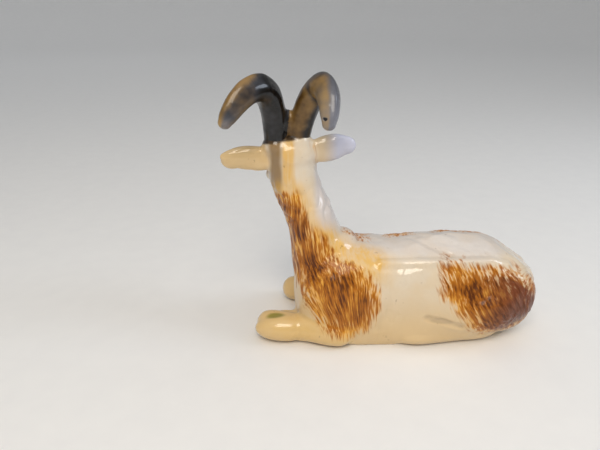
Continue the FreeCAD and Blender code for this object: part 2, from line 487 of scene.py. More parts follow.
SHOULDER_LEFT = Patch((
    (1.034, 1.44), (1.003, 1.456), (0.98, 1.33), (0.963, 1.202), (0.922, 1.097), (0.885, 1.04),
    (0.864, 0.95), (0.842, 0.83), (0.783, 0.80), (0.743, 0.775), (0.706, 0.72), (0.689, 0.66),
    (0.68, 0.604), (0.68, 0.432), (0.697, 0.286), (0.727, 0.205), (0.782, 0.155), (0.831, 0.177),
    (0.882, 0.255), (0.92, 0.353), (0.945, 0.43), (0.968, 0.516), (1.0, 0.635), (1.02, 0.768),
    (1.031, 0.966), (1.039, 1.107), (1.058, 1.264), (1.078, 1.353)), 1, 1.0)
HAUNCH_LEFT = Patch((
    (0.418, 0.832), (0.334, 0.835), (0.273, 0.791), (0.199, 0.802), (0.143, 0.765), (0.077, 0.684),
    (-0.01, 0.521), (-0.039, 0.366), (-0.006, 0.241), (0.065, 0.204), (0.139, 0.17), (0.221, 0.167),
    (0.278, 0.235), (0.317, 0.352), (0.352, 0.453), (0.399, 0.547), (0.419, 0.655), (0.408, 0.74)), 1, 2.0)
SHOULDER_RIGHT = Patch(((1.05, 1.40), (0.96, 1.25), (0.86, 1.05), (0.70, 0.90), (0.62, 0.70),
                        (0.64, 0.40), (0.74, 0.16), (0.92, 0.16), (1.02, 0.45), (1.06, 0.95)), -1, 0.0)
FLANK_RIGHT = Patch(((0.60, 0.99), (0.52, 0.98), (0.49, 0.70), (0.55, 0.50), (0.63, 0.66)), -1, -4.0)
HAUNCH_RIGHT = Patch(((0.40, 0.99), (0.30, 1.04), (0.18, 0.92), (0.05, 0.66), (0.0, 0.40), (0.08, 0.14),
                      (0.26, 0.16), (0.38, 0.40), (0.42, 0.70)), -1, -4.0)
BROWN_PATCHES = (SHOULDER_LEFT, HAUNCH_LEFT, SHOULDER_RIGHT, FLANK_RIGHT, HAUNCH_RIGHT)


# Pellets of clay: the casting, the place in its box, and the radii in millimetres.
MUSCLES = (
    ("body", (0.82, 0.5, 0.94), (6.0, 8.0, 3.2)),
    ("body", (0.80, 0.1, 0.50), (8.5, 2.4, 9.5)),
    ("body", (0.80, 0.9, 0.50), (8.5, 2.4, 9.5)),
    ("left_foreleg", (0.70, 0.55, 0.50), (9.5, 4.3, 4.4)),
    ("left_foreleg", (0.44, 0.55, 0.45), (9.0, 3.9, 4.2)),
    ("left_ear", (0.22, 0.5, 0.30), (5.0, 2.0, 2.6)),
    ("left_ear", (0.76, 0.62, 0.44), (3.6, 1.7, 2.9)),
    ("right_ear", (0.24, 0.5, 0.60), (3.4, 1.6, 2.9)),
    ("left_horn", (0.20, 0.18, 0.11), (4.2, 4.4, 3.5)),
    ("right_horn", (0.80, 0.17, -0.02), (4.5, 4.6, 3.8)),
    ("neck", (0.22, 0.15, 0.93), (2.2, 3.0, 2.9)),
    ("neck", (0.96, 0.35, 0.86), (2.0, 3.0, 2.0)),
)
# Pellets of the face: millimetres ahead, aside and above, and the radii. Those aside are on both sides.
FEATURES = (
    ((22.2, 0, 0.2), (5.0, 3.9, 3.5)),
    ((25.0, 0, 1.3), (2.0, 2.7, 2.0)),
    ((22.6, 0, -2.9), (3.4, 2.6, 1.8)),
    ((14.5, 0, 2.9), (8.5, 2.3, 2.0)),
    ((24.4, 1.7, -0.9), (2.3, 1.7, 1.8)),
    ((9.2, 5.0, 3.6), (3.4, 1.9, 1.5)),
    ((10.5, 3.9, -3.0), (6.0, 2.6, 3.6)),
    ((9.4, 5.4, 1.7), (2.7, 1.5, 2.2)),
)
# Flats: the place in the body's box, the outward direction, the paddle's reach and its share.
FLATS = (
    ((0.40, 0.68, 0.925), (0.0, 4.3, 10.0), (34, 9, 8), 0.85),
    ((0.40, 0.32, 0.935), (0.0, -4.3, 10.0), (30, 9, 8), 0.45),
    ((0.42, 0.933, 0.68), (0.0, 11.0, 4.1), (32, 7, 10), 0.8),
    ((0.42, 0.067, 0.68), (0.0, -11.0, 4.1), (30, 7, 10), 0.5),
    ((0.12, 0.5, 0.845), (-0.6, 0.0, 0.8), (15, 16, 12), 0.9),
    ((1.02, 0.66, 1.87), (0.0, 1.0, 0.2), (8, 5, 7), 0.8),
)
# Ridge, fold, lift, shank and elbow: the path in the body's box, half the width, the way, the depth.
STROKES = (
    (((0.66, 0.84, 0.85), (0.44, 0.85, 0.87), (0.22, 0.85, 0.86), (0.15, 0.81, 0.82)),
     2.3, (0.0, 0.6, 0.8), 0.75),
    (((0.55, 0.42, 1.0), (0.50, 0.58, 0.98), (0.45, 0.68, 0.95), (0.38, 0.78, 0.91)),
     1.8, (0.0, -0.3, -1.0), 0.55),
    (((0.50, 0.36, 1.0), (0.43, 0.52, 1.0), (0.36, 0.6, 0.98)), 2.6, (0.0, 0.0, 1.0), 0.5),
    (((0.47, 1.0, 0.34), (0.40, 1.0, 0.31), (0.33, 1.0, 0.26)), 1.8, (0.0, -1.0, 0.15), 0.8),
    (((0.66, 1.0, 0.62), (0.64, 1.0, 0.42), (0.66, 1.0, 0.24)), 3.0, (0.0, -1.0, 0.0), 0.45),
)


@dataclass
class Goatskin:
    """Models the skin: presses the castings together, shapes the face and combs the hair."""

    nodes: tuple[str, ...]
    comb: Comb = field(default_factory=Comb)
    join_width: float = 3.2
    join_rounds: int = 26
    drain_radius: float = 1.5

    def build(self) -> Skin:
        """Makes the whole skin.

        Returns:
            The skin, shaped and combed.
        """
        clay = Clay()
        for node in self.nodes:
            clay.casting(node)
        self.head = HeadAxes.find()
        self.add_muscle(clay)
        self.add_face(clay)
        self.plug_drain(clay)
        skin = Skin(clay.fuse(), list(self.nodes))
        skin.points = skin.spread(skin.points, 3)
        joins = 1.0 - ramp(skin.second, 0.0, self.join_width)
        skin.soften(skin.spread(joins, 6), self.join_rounds)
        self.shape_back(skin)
        self.shape_face(skin)
        self.comb_hair(skin)
        withers = skin.gap(within("body", 0.79, 0.80, 1.04))
        skin.soften(1.0 - ramp(withers, 3.0, 9.0), 40)
        self.flatten_foot(skin)
        skin.write()
        return skin

    @staticmethod
    def drain() -> np.ndarray:
        """Gives the middle of the drain hole's mouth, in millimetres."""
        return within("body", 0.67, 0.5, 0.0)

    @staticmethod
    def plug_drain(clay: Clay) -> None:
        """Closes the drain hole, so that the hollow inside stays apart from the skin."""
        clay.pellet(Goatskin.drain() + (0.0, 0.0, 1.5), (3.0, 3.0, 1.5))

    def add_muscle(self, clay: Clay) -> None:
        """Adds the shoulders, the slope of the nape, and the roots of the ears and horns."""
        for node, place, radii in MUSCLES:
            clay.pellet(within(node, *place), radii)

    def add_face(self, clay: Clay) -> None:
        """Adds brows, cheeks, muzzle, lips and chin."""
        turn = self.head.matrix()
        for (ahead, aside, above), radii in FEATURES:
            for side in (-1, 1) if aside else (1,):
                clay.pellet(self.head.at(ahead, side * aside, above), radii, turn)

    @staticmethod
    def shape_back(skin: Skin) -> None:
        """Beats the back, flanks and rump flat, and draws the ridges and folds between them."""
        for place, facing, radii, share in FLATS:
            skin.paddle(within("body", *place), facing, radii, share)
        skin.soften(np.ones(len(skin.points)), 2)
        for path, radius, way, depth in STROKES:
            skin.draw(tuple(within("body", *place) for place in path), radius, way, depth)

    def shape_face(self, skin: Skin) -> None:
        """Presses eye sockets, nostrils and mouth into the head."""
        head = self.head
        rows = head.rows()
        for side in (-1, 1):
            inward = -head.left * side
            skin.press(head.at(9.4, side * 6.9, 1.7), 2.3, inward, 1.3, (1.15, 1.0, 0.85), rows)
            skin.press(head.at(25.9, side * 1.75, 1.2), 1.15, -head.forward, 1.2, (1.2, 0.75, 1.0), rows)
            for step in range(9):
                share = step / 8
                spot = head.at(26.8 - 6.8 * share, side * (0.4 + 3.6 * share ** 0.6), -1.7 + 0.5 * share)
                skin.press(spot, 1.1, -head.forward * (1 - share) + inward * share, 0.28,
                           (1.0, 1.0, 0.6), rows)

    def comb_hair(self, skin: Skin) -> None:
        """Raises locks and strands along the hair's direction."""
        normals = skin.normals()
        flow = self.comb.coordinates(skin.points)
        locks = clay_noise(flow, (2.6, 11.0, 2.6), 3.1)
        curls = clay_noise(skin.points, (3.4, 3.4, 4.2), 7.7)
        strands = clay_noise(flow, (0.85, 5.0, 0.85), 11.3)
        neck = self.share_of(skin, "neck", 10)
        shaggy = neck * ramp(skin.points[:, 2], 36.0, 42.0) * (1 - ramp(skin.points[:, 2], 48.0, 54.0))
        painted = np.max([ramp(p.depth(skin.points), -1.5, 1.0) for p in BROWN_PATCHES], axis=0)
        body = self.share_of(skin, "body", 10) + self.share_of(skin, "left_haunch", 10)
        body = body + self.share_of(skin, "right_haunch", 10)
        beard = self.share_of(skin, "beard", 4)
        coat = np.clip(neck + body + beard, 0, 1)
        grounded = ramp(skin.points[:, 2], 0.3, 2.5)
        raised = 0.16 * locks * coat + shaggy * (0.95 * np.abs(curls) + 0.25 * curls)
        dents = clay_noise(skin.points, (9.0, 9.0, 8.0), 23.7)
        raised += 0.42 * dents * np.clip(body, 0, 1)
        raised += strands * (0.03 * coat + 0.15 * painted * coat + 0.10 * beard)
        skin.points += normals * (raised * grounded)[:, None]

    def share_of(self, skin: Skin, node: str, blur: int) -> np.ndarray:
        """Gives a mask of one casting's part of the skin, softened for as many rounds as blur."""
        return skin.spread((skin.owner == self.nodes.index(node)).astype(float), blur)

    def flatten_foot(self, skin: Skin) -> None:
        """Rubs the underside flat, and opens the drain hole's mouth."""
        height = skin.points[:, 2]
        middle = self.drain()[:2]
        offset = skin.points[:, :2] - middle
        reach = np.linalg.norm(offset, axis=1)
        height[(height < 0.15) | ((reach < 3.2) & (height < 1.2))] = 0.0
        flat = height == 0.0
        rim = flat & (np.abs(reach - self.drain_radius) < 0.25)
        skin.points[rim, :2] = middle + offset[rim] / reach[rim, None] * self.drain_radius
        skin.points[flat & (reach < self.drain_radius - 0.25), 2] = 2.2


# ---------------------------------------------------------------- where the paint lies


@dataclass
class Paint:
    """Works out, for every point of the skin, where each glaze and stain lies, and where shade and
    reflections are painted.
    """

    skin: Skin
    maker: Goatskin

    def fields(self) -> dict[str, np.ndarray]:
        """Gives each mask by name.

        Returns:
            One number for each point.
        """
        points = self.skin.points
        brown = np.max([patch.depth(points) for patch in BROWN_PATCHES], axis=0)
        face = self.face_depth()
        return {
            "brown": np.clip(np.maximum(brown, face), -8.0, 8.0),
            "core": self.core(),
            "mauve": 1 - ramp(points[:, 0], *self.along(0.12, 0.32)),
            "ochre": self.ochre(),
            # pooled glaze, and painted shade in creases
            "pooling_and_shade": self.pooling_and_shade(),
            "warm": self.warm(),
            "combed": self.combed(),
            "daub": self.daub(),
            "nose": self.nose(),
            # painted shade down the left side of the nape
            "shade": self.shade(),
            # painted reflection of cool window light
            "painted_window_light": self.painted_window_light(),
            "horned": self.horned(),
            "root": ramp(points[:, 0], *within("neck", 0.63, 0, 0)[:1] + np.array([1.0, -1.0])),
        }

    def along(self, *shares: float) -> tuple[float, ...]:
        """Gives places along the body, in millimetres, from shares of its length."""
        low, high = span("body")
        return tuple(low[0] + (high[0] - low[0]) * share for share in shares)

    def warm(self) -> np.ndarray:
        """Gives where the glaze is yellow: the legs, the ears and low on the flanks."""
        legs = self.part("left_foreleg", "right_foreleg")
        ears = self.part("left_ear") + 0.5 * self.part("right_ear")
        low = 1 - ramp(self.skin.points[:, 2], *(span("body")[1][2] * np.array([0.1, 0.9])))
        return np.clip(0.85 * legs + 0.8 * ears + 0.75 * low, 0, 1)

    def combed(self) -> np.ndarray:
        """Gives how strongly the hair's strands show."""
        points = self.skin.points
        brown = np.max([ramp(patch.depth(points), -2.0, 1.5) for patch in BROWN_PATCHES], axis=0)
        hairy = self.part("body", "neck", "left_haunch", "right_haunch", "tail", "beard")
        return hairy * (0.25 + 0.75 * brown) * ramp(points[:, 2], 0.2, 2.0)

    def part(self, *nodes: str) -> np.ndarray:
        """Gives a soft mask of some castings' parts of the skin."""
        return np.clip(sum(self.maker.share_of(self.skin, node, 14) for node in nodes), 0, 1)

    def blob(self, middle: np.ndarray, radius: float) -> np.ndarray:
        """Gives a soft round mask around a point."""
        return 1 - ramp(self.skin.gap(middle), 0.0, radius)

    def core(self) -> np.ndarray:
        """Gives where the brown stain was laid on thickest."""
        spots = ((1.04, 0.76, 1.31, 11.0), (1.04, 0.74, 1.20, 9.5), (0.71, 0.97, 0.50, 8.0),
                 (0.80, 0.95, 0.76, 8.0), (0.93, 0.85, 0.80, 9.0), (0.98, 0.7, 1.12, 7.0),
                 (0.16, 0.95, 0.36, 12.0), (0.30, 0.95, 0.62, 5.0), (0.85, 0.05, 0.7, 10.0),
                 (0.2, 0.05, 0.6, 13.0))
        return np.clip(sum(self.blob(within("body", *spot[:3]), spot[3]) for spot in spots), 0, 1)

    def ochre(self) -> np.ndarray:
        """Gives the thin yellow wash beside the shoulder and down the nape."""
        points = self.skin.points
        across, aside, height = points.T
        top = span("body")[1][2]
        beside = ramp(SHOULDER_LEFT.depth(points), -6.5, -0.5) * ramp(height, top * 0.75, top * 0.95)
        right, left = within("neck", 0.64, 0, 0)[0], within("neck", 0.83, 0, 0)[0]
        band = ramp(across, right, right + 1.2) * (1 - ramp(across, left - 1, left))
        band *= ramp(aside, 1.0, 3.0) * ramp(height, top * 1.4, top * 1.6)
        wash = self.blob(within("body", 0.78, 0.86, 0.94), 13.0)
        wash = wash + self.blob(within("body", 0.69, 0.9, 0.88), 11.0)
        return np.clip(beside + 0.9 * band + wash, 0, 1)

    def shade(self) -> np.ndarray:
        """Gives the painted shade down the left side of the nape: a khaki strip for shadow and dark
        reflection.
        """
        points = self.skin.points
        edge = within("neck", 0.80, 0, 0)[0]
        top = span("body")[1][2]
        across = points[:, 0] - edge + 0.5 * clay_noise(points, (2.2, 2.2, 6.0), 17.0)
        strip = ramp(across, -0.4, 1.4) * (1 - ramp(across, 3.2, 5.2))
        return (strip * ramp(points[:, 2], top * 1.25, top * 1.45) * ramp(points[:, 1], -2.0, 2.0)
                * self.part("neck", "head"))

    def painted_window_light(self) -> np.ndarray:
        """Gives the painted reflection of cool window light: on the right ear, the nape's right side and the
        back.
        """
        points = self.skin.points
        low, high = span("right_ear")
        ear = 1 - ramp(points[:, 0], low[0] + (high[0] - low[0]) * 0.30, low[0] + (high[0] - low[0]) * 0.78)
        ear *= ramp(points[:, 2], low[2] - 2, low[2])
        nape_edge = within("neck", 0.45, 0, 0)[0]
        nape = (1 - ramp(points[:, 0], nape_edge - 2, nape_edge)) * ramp(points[:, 2], 30, 40)
        nape = nape * self.part("neck", "head")
        back = ramp(points[:, 2], *(span("body")[1][2] * np.array([0.84, 0.92]))) * self.part("body")
        return np.clip(1.1 * ear + 0.42 * nape + 0.28 * back, 0, 1)

    def horned(self) -> np.ndarray:
        """Gives where the horns' glaze runs down on to the poll."""
        points = self.skin.points
        left, right = within("left_horn", 0.3, 0, 0.15), within("right_horn", 0.8, 0, 0.05)
        slope = (right[2] - left[2]) / (right[0] - left[0])
        edge = left[2] + (points[:, 0] - left[0]) * slope
        wobble = 0.16 * clay_noise(points, (2.4, 2.4, 2.4), 5.0)
        roots = [self.skin.reach_of(horn.middle_line()[:3]) for horn in (LEFT_HORN, RIGHT_HORN)]
        near = 1 - ramp(np.min(roots, axis=0), 5.4, 6.2)
        return ramp(points[:, 2] - edge + wobble, -0.25, 0.25) * near

    def pooling_and_shade(self) -> np.ndarray:
        """Gives how deep each point lies between its neighbours, where glaze pools; also painted shade in
        the creases and a painted shadow in the fold before the left thigh.
        """
        smooth = self.skin.spread(self.skin.points, 40)
        sunk = ((smooth - self.skin.points) * self.skin.normals()).sum(axis=1)
        # painted shadow in the fold between the left thigh and the belly
        offset = (self.skin.points - within("body", 0.41, 1.0, 0.31)) / np.array([5.0, 3.0, 1.5])
        fold_shadow = 0.9 * (1 - ramp(np.linalg.norm(offset, axis=1), 0.2, 1.0))
        return np.clip(self.skin.spread(sunk, 4) / 0.5 + fold_shadow, -1, 1)

    def daub(self) -> np.ndarray:
        """Gives the green brush mark on the left foreleg."""
        middle = within("left_foreleg", 0.80, 0.52, 1.0)
        offset = (self.skin.points - middle) / np.array([3.6, 1.5, 2.2])
        return 1 - ramp(np.linalg.norm(offset, axis=1), 0.5, 1.1)

    def face_depth(self) -> np.ndarray:
        """Gives how far inside the face's brown mask each point is."""
        head = self.maker.head
        depths = []
        for side in (-1, 1):
            offset = (self.skin.points - head.at(9.0, side * 5.8, 0.6)) @ head.rows().T
            depths.append(3.4 - np.linalg.norm(offset / np.array([2.1, 1.0, 1.0]), axis=1))
        return np.max(depths, axis=0)

    def nose(self) -> np.ndarray:
        """Gives the grey-pink end of the muzzle."""
        head = self.maker.head
        offset = (self.skin.points - head.at(27.0, 0, 0.6)) @ head.rows().T
        return 1 - ramp(np.linalg.norm(offset / np.array([1.0, 1.1, 1.0]), axis=1), 1.6, 4.0)


# ---------------------------------------------------------------- cutting the skin into pieces


def closed_piece(name: str, skin: Skin, index: int, normals: np.ndarray,
                 fields: dict[str, np.ndarray], flow: np.ndarray, lip: float = 0.7) -> bpy.types.Object:
    """Cuts one casting's part out of the skin and closes it behind the cut.

    Args:
        name: the new piece's name.
        skin: the whole skin.
        index: the casting's place in the skin's names.
        normals: the whole skin's outward directions, kept so that no cut shows in the glaze.
        fields: the painted masks.
        flow: the hair's coordinates.
        lip: how far the cut's edge is turned in, in millimetres.

    Returns:
        The piece.
    """
    bm = bmesh.new()
    bm.from_mesh(skin.lump.data)
    bm.verts.ensure_lookup_table()
    source = bm.verts.layers.int.new("source")
    for vert in bm.verts:
        vert[source] = vert.index
    kept = skin.face_owner() == index
    bm.faces.ensure_lookup_table()
    bmesh.ops.delete(bm, geom=[bm.faces[k] for k in np.flatnonzero(~kept)], context="FACES")
    rim = [edge for edge in bm.edges if edge.is_boundary]
    if rim:
        inner = bmesh.ops.extrude_edge_only(bm, edges=rim)["geom"]
        turned = [item for item in inner if isinstance(item, bmesh.types.BMVert)]
        for vert in turned:
            vert.co -= Vector(normals[vert[source]]) * lip * MM
        cut = [edge for edge in bm.edges if edge.is_boundary]
        filled = bmesh.ops.holes_fill(bm, edges=cut, sides=0)["faces"]
        bmesh.ops.triangulate(bm, faces=filled)
        hidden = {f for v in turned for f in v.link_faces}
    else:
        hidden = set()
    bmesh.ops.recalc_face_normals(bm, faces=bm.faces)
    for face in bm.faces:
        face.smooth = face not in hidden
    sources = np.array([vert[source] for vert in bm.verts])
    bm.verts.index_update()
    mesh = bpy.data.meshes.new(name)
    bm.to_mesh(mesh)
    bm.free()
    mesh.attributes.remove(mesh.attributes["source"])
    smooth = np.empty(len(mesh.polygons), bool)
    mesh.polygons.foreach_get("use_smooth", smooth)
    custom = np.zeros((len(mesh.loops), 3))
    corners = np.empty(len(mesh.loops), int)
    mesh.loops.foreach_get("vertex_index", corners)
    totals = np.empty(len(mesh.polygons), int)
    mesh.polygons.foreach_get("loop_total", totals)
    shown = np.repeat(smooth, totals)
    custom[shown] = normals[sources[corners[shown]]]
    mesh.normals_split_custom_set(custom)
    for key, values in fields.items():
        layer = mesh.attributes.new(key, "FLOAT", "POINT")
        layer.data.foreach_set("value", values[sources].astype(np.float32))
    layer = mesh.attributes.new("flow", "FLOAT_VECTOR", "POINT")
    layer.data.foreach_set("vector", flow[sources].astype(np.float32).ravel())
    return new_object(name, mesh)


# ---------------------------------------------------------------- horns and eyes


@dataclass(frozen=True)
class Horn:
    """A horn that rises, curls over and ends in a blunt tip, with a keel along its outer side."""

    node: str
    brown_root: float
    path: tuple[Triple, ...]
    girth: tuple[float, ...] = (0.50, 0.50, 0.51, 0.51, 0.505, 0.485, 0.43, 0.34, 0.26)
    thickness: float = 7.2
    rings: int = 60
    sides: int = 40

    def middle_line(self) -> np.ndarray:
        """Gives the path's corners, in millimetres."""
        low, high = span(self.node)
        return low + np.array(self.path) * (high - low)

    def stations(self) -> tuple[np.ndarray, np.ndarray]:
        """Rounds the path off and ends it in a dome.

        Returns:
            The middle line's points and the radius at each, in millimetres.
        """
        rough = self.middle_line()
        at = np.linspace(0, len(rough) - 1, self.rings)
        knots = np.arange(len(rough))
        line = np.stack([np.interp(at, knots, column) for column in rough.T], axis=1)
        girth = np.interp(at, knots, self.girth) * self.thickness
        for _ in range(9):
            line[1:-1] = 0.5 * line[1:-1] + 0.25 * (line[:-2] + line[2:])
            girth[1:-1] = 0.5 * girth[1:-1] + 0.25 * (girth[:-2] + girth[2:])
        way = (line[-1] - line[-2]) / np.linalg.norm(line[-1] - line[-2])
        turn = np.linspace(0.15, 1.5, 10)
        dome = line[-1] + np.outer(np.sin(turn) * girth[-1] * 0.85, way)
        return np.vstack([line, dome]), np.concatenate([girth, np.cos(turn) * girth[-1]])

    def axes(self, points: np.ndarray) -> np.ndarray:
        """Gives each station's own axes.

        Args:
            points: the middle line.

        Returns:
            For each station three rows: towards the horn's left face, outwards and onwards.
        """
        flat = np.linalg.svd(points - points.mean(axis=0))[2][2]
        flat = flat * (1 if flat[0] > 0 else -1)
        middle = points[len(points) // 3:].mean(axis=0) - np.array([0.0, 0.0, 3.0])
        onwards = np.gradient(points, axis=0)
        onwards /= np.linalg.norm(onwards, axis=1)[:, None]
        across = flat - onwards * (onwards @ flat)[:, None]
        across /= np.linalg.norm(across, axis=1)[:, None]
        outward = np.cross(onwards, across)
        outward *= np.where(((points - middle) * outward).sum(axis=1) > 0, 1, -1)[:, None]
        return np.stack([across, outward, onwards], axis=1)

    def model(self, clay: Clay) -> None:
        """Adds the horn to the clay.

        Args:
            clay: the clay that it joins.
        """
        points, radii = self.stations()
        loops = []
        for k, (point, radius, axes) in enumerate(zip(points, radii, self.axes(points))):
            turn = Matrix([Vector(row) for row in axes]).transposed().to_4x4()
            made = bmesh.ops.create_circle(clay.mesh, segments=self.sides, radius=radius * MM,
                                           matrix=Matrix.Translation(Vector(point) * MM) @ turn)["verts"]
            for vert in made:
                spoke = np.array(vert.co) / MM - point
                shape = axes @ spoke / np.linalg.norm(spoke)
                keel = max(0.0, float(shape[1]))
                swell = 1.0 + 0.15 * keel ** 10 - 0.10 * abs(shape[0]) ** 0.6 * keel
                swell += 0.03 * noise.noise(Vector(point + spoke) * 0.40)
                swell += 0.014 * noise.noise(Vector((k * 0.42, 3.0, 0.0)))
                vert.co = Vector(point + spoke * swell) * MM
            loops.append(list({edge for vert in made for edge in vert.link_edges}))
        for first, second in zip(loops, loops[1:]):
            bmesh.ops.bridge_loops(clay.mesh, edges=first + second)
        bmesh.ops.holes_fill(clay.mesh, edges=loops[0] + loops[-1], sides=0)

    def paint(self, points: np.ndarray) -> tuple[np.ndarray, np.ndarray]:
        """Gives where the horn's glaze is brown, and how far along the horn each point is.

        Args:
            points: rows of points, in millimetres.

        Returns:
            From -1, grey, to 1, brown; and from 0 at the root to 1 at the tip.
        """
        line, _ = self.stations()
        axes = self.axes(line)
        gaps = np.linalg.norm(points[:, None, :] - line[None, :, :], axis=2)
        nearest = gaps.argmin(axis=1)
        spoke = points - line[nearest]
        spoke /= np.linalg.norm(spoke, axis=1)[:, None] + 1e-9
        side = (spoke * axes[nearest, 0]).sum(axis=1)
        along = nearest / (len(line) - 1)
        brown = np.clip(side * 1.6, -1, 1)
        crest = 1 - 0.7 * ramp(along, 0.30, 0.42) * (1 - ramp(along, 0.62, 0.75))
        kept = np.maximum(ramp(along, 0.35, 0.55), self.brown_root * crest)
        shift = ramp(along, 0.35, 0.6) * (0.7 - 1.5 * self.brown_root)
        brown = np.clip(brown + shift, -1, 1)
        return brown * kept - (1 - kept) * 0.9, along * (0.72 + 0.28 * self.brown_root)


LEFT_HORN = Horn("left_horn", 0.0, (
    (0.189, 0.143, 0.025), (0.200, 0.195, 0.297), (0.217, 0.267, 0.515), (0.278, 0.381, 0.724),
    (0.411, 0.533, 0.841), (0.583, 0.686, 0.816), (0.750, 0.810, 0.690), (0.861, 0.886, 0.565),
    (0.900, 0.914, 0.510)))
RIGHT_HORN = Horn("right_horn", 1.0, (
    (0.828, 0.132, -0.180), (0.766, 0.180, 0.145), (0.662, 0.220, 0.405), (0.517, 0.298, 0.660),
    (0.372, 0.434, 0.810), (0.255, 0.610, 0.780), (0.207, 0.766, 0.645), (0.207, 0.873, 0.465),
    (0.221, 0.907, 0.380)))


@dataclass
class Eye:
    """A glossy eyeball in its socket."""

    head: HeadAxes
    side: int
    radius: float = 1.75

    def build(self) -> bpy.types.Object:
        """Makes the eyeball, its slit darkened by an attribute.

        Returns:
            The eye's object.
        """
        name = ("right", "left")[self.side > 0] + "_eye"
        bm = bmesh.new()
        middle = Vector(self.head.at(9.4, self.side * 5.35, 1.7)) * MM
        bmesh.ops.create_uvsphere(bm, u_segments=36, v_segments=24, radius=self.radius * MM,
                                  matrix=Matrix.Translation(middle) @ self.head.matrix().to_4x4())
        iris = bm.verts.layers.float.new("iris")
        for vert in bm.verts:
            offset = self.head.rows() @ (np.array(vert.co) / MM - np.array(middle) / MM)
            vert[iris] = float(self.radius - math.hypot(offset[0], offset[2] * 1.15))
        for face in bm.faces:
            face.smooth = True
        mesh = bpy.data.meshes.new(name)
        bm.to_mesh(mesh)
        bm.free()
        return new_object(name, mesh)


# ---------------------------------------------------------------- finishes


NUMBER = "NodeSocketFloat"
COLOUR = "NodeSocketColor"
VECTOR = "NodeSocketVector"


@dataclass
class Board:
    """A node tree that is being wired."""

    tree: bpy.types.NodeTree

    def add(self, kind: str, **settings: object) -> bpy.types.Node:
        """Adds a node and sets it.

        Args:
            kind: the node's type.
            settings: its properties.

        Returns:
            The node.
        """
        node = self.tree.nodes.new(kind)
        for key, value in settings.items():
            setattr(node, key, value)
        return node

    def feed(self, socket: bpy.types.NodeSocket, value: object) -> None:
        """Links a socket, or sets its constant."""
        if isinstance(value, bpy.types.NodeSocket):
            self.tree.links.new(value, socket)
        elif isinstance(value, tuple) and len(value) == 3 and socket.type == "RGBA":
            socket.default_value = (*value, 1.0)
        else:
            socket.default_value = value

    def math(self, operation: str, *values: object) -> bpy.types.NodeSocket:
        """Adds a sum.

        Args:
            operation: the Math node's operation.
            values: its inputs, sockets or numbers.

        Returns:
            The result.
        """
        node = self.add("ShaderNodeMath", operation=operation)
        for socket, value in zip(node.inputs, values):
            self.feed(socket, value)
        return node.outputs[0]

    def step(self, value: object, low: float, high: float) -> bpy.types.NodeSocket:
        """Adds a smooth step from 0 at low to 1 at high."""
        node = self.add("ShaderNodeMapRange", interpolation_type="SMOOTHSTEP")
        for socket, entry in zip(node.inputs, (value, low, high, 0.0, 1.0)):
            self.feed(socket, entry)
        return node.outputs[0]

    def mix(self, share: object, first: object, second: object) -> bpy.types.NodeSocket:
        """Adds a mix of two colours.

        Args:
            share: how much of the second colour.
            first: a colour.
            second: a colour.

        Returns:
            The colour.
        """
        node = self.add("ShaderNodeMix", data_type="RGBA")
        self.feed(node.inputs[0], share)
        self.feed(node.inputs[6], first)
        self.feed(node.inputs[7], second)
        return node.outputs[2]

    def grain(self, where: object, stretch: Triple, detail: float = 2.0,
              rough: float = 0.5, seed: float = 0.0) -> bpy.types.NodeSocket:
        """Adds noise.

        Args:
            where: the coordinates.
            stretch: how many times each coordinate is enlarged.
            detail: the Noise node's detail.
            rough: its roughness.
            seed: shifts the pattern.

        Returns:
            From 0 to 1.
        """
        place = self.add("ShaderNodeMapping")
        self.feed(place.inputs["Vector"], where)
        place.inputs["Scale"].default_value = stretch
        place.inputs["Location"].default_value = (seed, seed, seed)
        node = self.add("ShaderNodeTexNoise")
        self.feed(node.inputs["Vector"], place.outputs[0])
        node.inputs["Scale"].default_value = 1.0
        node.inputs["Detail"].default_value = detail
        node.inputs["Roughness"].default_value = rough
        return node.outputs["Fac"]

    def own(self, name: str, output: str = "Fac") -> bpy.types.NodeSocket:
        """Reads one of the piece's own attributes."""
        return self.add("ShaderNodeAttribute", attribute_name=name).outputs[output]

    def group(self, shared: bpy.types.NodeTree, **inputs: object) -> bpy.types.Node:
        """Adds a shared group and feeds it."""
        node = self.add("ShaderNodeGroup", node_tree=shared)
        for key, value in inputs.items():
            self.feed(node.inputs[key], value)
        return node


def srgb(red: int, green: int, blue: int) -> Triple:
    """Turns a screen colour into light, each channel from 0 to 1."""
    return tuple((c / 255 / 12.92) if c < 11 else ((c / 255 + 0.055) / 1.055) ** 2.4
                 for c in (red, green, blue))


def new_group(name: str, inputs: dict[str, str], outputs: dict[str, str]) -> tuple[Board, dict, dict]:
    """Starts a shader group.

    Args:
        name: the group's name.
        inputs: each input's name and socket type.
        outputs: each output's name and socket type.

    Returns:
        Its board, its inputs by name and its output sockets by name.
    """
    tree = bpy.data.node_groups.new(name, "ShaderNodeTree")
    for key, kind in inputs.items():
        tree.interface.new_socket(key, in_out="INPUT", socket_type=kind)
    for key, kind in outputs.items():
        tree.interface.new_socket(key, in_out="OUTPUT", socket_type=kind)
    board = Board(tree)
    entry, leave = board.add("NodeGroupInput"), board.add("NodeGroupOutput")
    return (board, {s.name: s for s in entry.outputs if s.name},
            {s.name: s for s in leave.inputs if s.name})


def stroke_group() -> bpy.types.NodeTree:
    """Makes the brush strokes that follow the hair."""
    board, take, give = new_group("brush strokes", {"Flow": VECTOR},
                                  {"Stroke": NUMBER, "Fine": NUMBER})
    broad = board.grain(take["Flow"], (0.62, 0.10, 0.5), detail=1.0, seed=4.0)
    thin = board.grain(take["Flow"], (1.55, 0.15, 0.8), detail=2.0, rough=0.6, seed=19.0)
    board.feed(give["Stroke"], board.math("MULTIPLY_ADD", broad, 0.6, board.math("MULTIPLY", thin, 0.4)))
    board.feed(give["Fine"], thin)
    return board.tree


